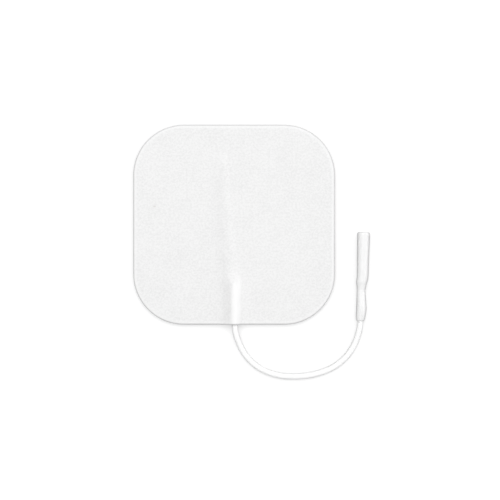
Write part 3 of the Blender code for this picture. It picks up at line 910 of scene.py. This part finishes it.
def make_lead(material):
    """Insulated lead as a curve of one spline, handed back with its length."""
    points = lead_points()
    curve = bpy.data.curves.new("lead", "CURVE")
    curve.dimensions = "3D"
    curve.bevel_depth = LEAD_RADIUS
    curve.bevel_resolution = LEAD_BEVEL_RESOLUTION
    curve.use_fill_caps = True
    spline = curve.splines.new("POLY")
    spline.points.add(len(points) - 1)
    for control, point in zip(spline.points, points):
        control.co = (*point, 1.0)
    spline.use_smooth = True
    curve.materials.append(material)
    piece = bpy.data.objects.new("lead", curve)
    bpy.context.scene.collection.objects.link(piece)
    return piece, travelled_lengths(points)[-1]


def sleeve_outside():
    """Half section of the sleeve's outside, from its mouth to its rear, with both ends rounded."""
    outside = []
    for angle in quarter_turn(ROUNDING_STEPS):
        behind = MOUTH_ROUNDING * (1.0 - math.cos(angle))
        outside.append((behind, MOUTH_RADIUS - MOUTH_ROUNDING * (1.0 - math.sin(angle)), 0.0))
    rear_start = SLEEVE_LENGTH - REAR_ROUNDING_RUN
    curve = smooth_points([Vector(station) for station in SLEEVE_STATIONS])
    for point in spaced_points(curve, SLEEVE_POINT_SPACING):
        if MOUTH_ROUNDING < point.x < rear_start:
            outside.append(tuple(point))
    rear_radius, rear_offset = SLEEVE_STATIONS[-1][1:]
    for angle in quarter_turn(ROUNDING_STEPS):
        behind = rear_start + REAR_ROUNDING_RUN * math.sin(angle)
        outside.append((behind, rear_radius - REAR_ROUNDING * (1.0 - math.cos(angle)), rear_offset))
    return outside


def sleeve_inside():
    """Half section of the sleeve's inside, from its rear to its mouth."""
    bore = [
        (SLEEVE_LENGTH, REAR_BORE_RADIUS),
        (POCKET_END, REAR_BORE_RADIUS),
        (POCKET_END, POCKET_RADIUS),
        (LIP_LENGTH, POCKET_RADIUS),
        (LIP_LENGTH, LIP_RADIUS),
        (LIP_CHAMFER, LIP_RADIUS),
        (0.0, LIP_RADIUS + LIP_CHAMFER),
    ]
    return [(behind, radius, 0.0) for behind, radius in bore]


def make_sleeve(material):
    """Moulded sleeve, turned about the pin's axis with its mouth at the origin, then put in place."""
    shape = bmesh.new()
    rings = []
    for behind, radius, offset in sleeve_outside() + sleeve_inside():
        ring = []
        for step in range(SLEEVE_SIDES):
            angle = 2 * math.pi * step / SLEEVE_SIDES
            across = offset + radius * math.cos(angle)
            ring.append(shape.verts.new((across, -behind, radius * math.sin(angle))))
        rings.append(ring)
    for near, far in zip(rings, rings[1:] + rings[:1]):
        join_loops(shape, near, far)
    mouth = sleeve_rear() + sleeve_direction() * SLEEVE_LENGTH
    turned = Matrix.Rotation(SLEEVE_YAW, 4, "Z") @ Matrix.Rotation(SLEEVE_PITCH, 4, "X")
    bmesh.ops.transform(shape, matrix=Matrix.Translation(mouth) @ turned, verts=shape.verts)
    return mesh_piece("sleeve", shape, material)


def make_floor():
    """Pale floor under the pad."""
    shape = bmesh.new()
    bmesh.ops.create_grid(shape, x_segments=1, y_segments=1, size=FLOOR_SIZE)
    floor = mesh_piece("floor", shape, floor_material())


def area_light(name, place, size, power):
    """Square soft light aimed at the pad, which isn't seen itself."""
    data = bpy.data.lights.new(name, "AREA")
    data.shape = "SQUARE"
    data.size = size
    data.energy = power
    light = bpy.data.objects.new(name, data)
    light.location = place
    light.rotation_euler = (-Vector(place)).to_track_quat("-Z", "Y").to_euler()
    light.visible_camera = False
    bpy.context.scene.collection.objects.link(light)


def make_surround():
    """Even, pale surround, which looks as white as the floor."""
    world = bpy.data.worlds.new("surround")
    world.use_nodes = True
    tree = world.node_tree
    background = tree.nodes["Background"]
    background.inputs["Color"].default_value = grey(1.0)
    seen = new_node(tree, "ShaderNodeLightPath").outputs["Is Camera Ray"]
    strength = blend_range(tree, seen, 0.0, 1.0, SKY_STRENGTH, SKY_SEEN_STRENGTH)
    tree.links.new(strength, background.inputs["Strength"])
    bpy.context.scene.world = world


def make_lights():
    """Big soft light high on the pad's far side, and a wide, gentle key on its right."""
    area_light("overhead", OVERHEAD_PLACE, OVERHEAD_SIZE, OVERHEAD_POWER)
    area_light("key", KEY_PLACE, KEY_SIZE, KEY_POWER)
    make_surround()


def make_camera():
    """Camera straight above, framed as the photograph is."""
    data = bpy.data.cameras.new("camera")
    data.lens = CAMERA_LENS
    data.sensor_width = CAMERA_SENSOR
    camera = bpy.data.objects.new("camera", data)
    across = (FRAME_PIXELS / 2 - PAD_CENTRE_PIXEL[0]) / PIXELS_PER_MM * MM
    along = -(FRAME_PIXELS / 2 - PAD_CENTRE_PIXEL[1]) / PIXELS_PER_MM * MM
    shown = FRAME_PIXELS / PIXELS_PER_MM * MM
    distance = shown * CAMERA_LENS / CAMERA_SENSOR
    camera.location = (across, along, FILM_TOP + COVER_THICKNESS + distance)
    bpy.context.scene.collection.objects.link(camera)
    bpy.context.scene.camera = camera


def dress(name, material):
    """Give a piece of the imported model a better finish."""
    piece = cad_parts[name]
    for place in range(len(piece.material_slots)):
        piece.material_slots[place].material = material


def make_pad():
    """Cover, gel, film and strands."""
    cover = make_cover(cover_material())
    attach(cover, "root")
    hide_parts("backing_fabric")
    gel = make_gel(gel_material())
    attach(gel, "root")
    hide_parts("gel_layer")
    dress("carbon_film", film_material())
    strands = metal_material("strands_tinned", TIN_COLOUR, roughness=0.3)
    dress("conductor_tail", strands)
    dress("conductor_crimped_end", strands)


def make_connector():
    """Sleeve, socket and lead."""
    sleeve = make_sleeve(sleeve_material())
    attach(sleeve, "root")
    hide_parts("connector_sleeve")
    dress("connector_socket", metal_material("socket_plated", NICKEL_COLOUR, roughness=0.22))
    lead, lead_length = make_lead(lead_material())
    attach(lead, "root")
    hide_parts("lead_wire")


bpy.context.scene.view_settings.view_transform = "Standard"
make_camera()
make_connector()
make_pad()
make_floor()
make_lights()
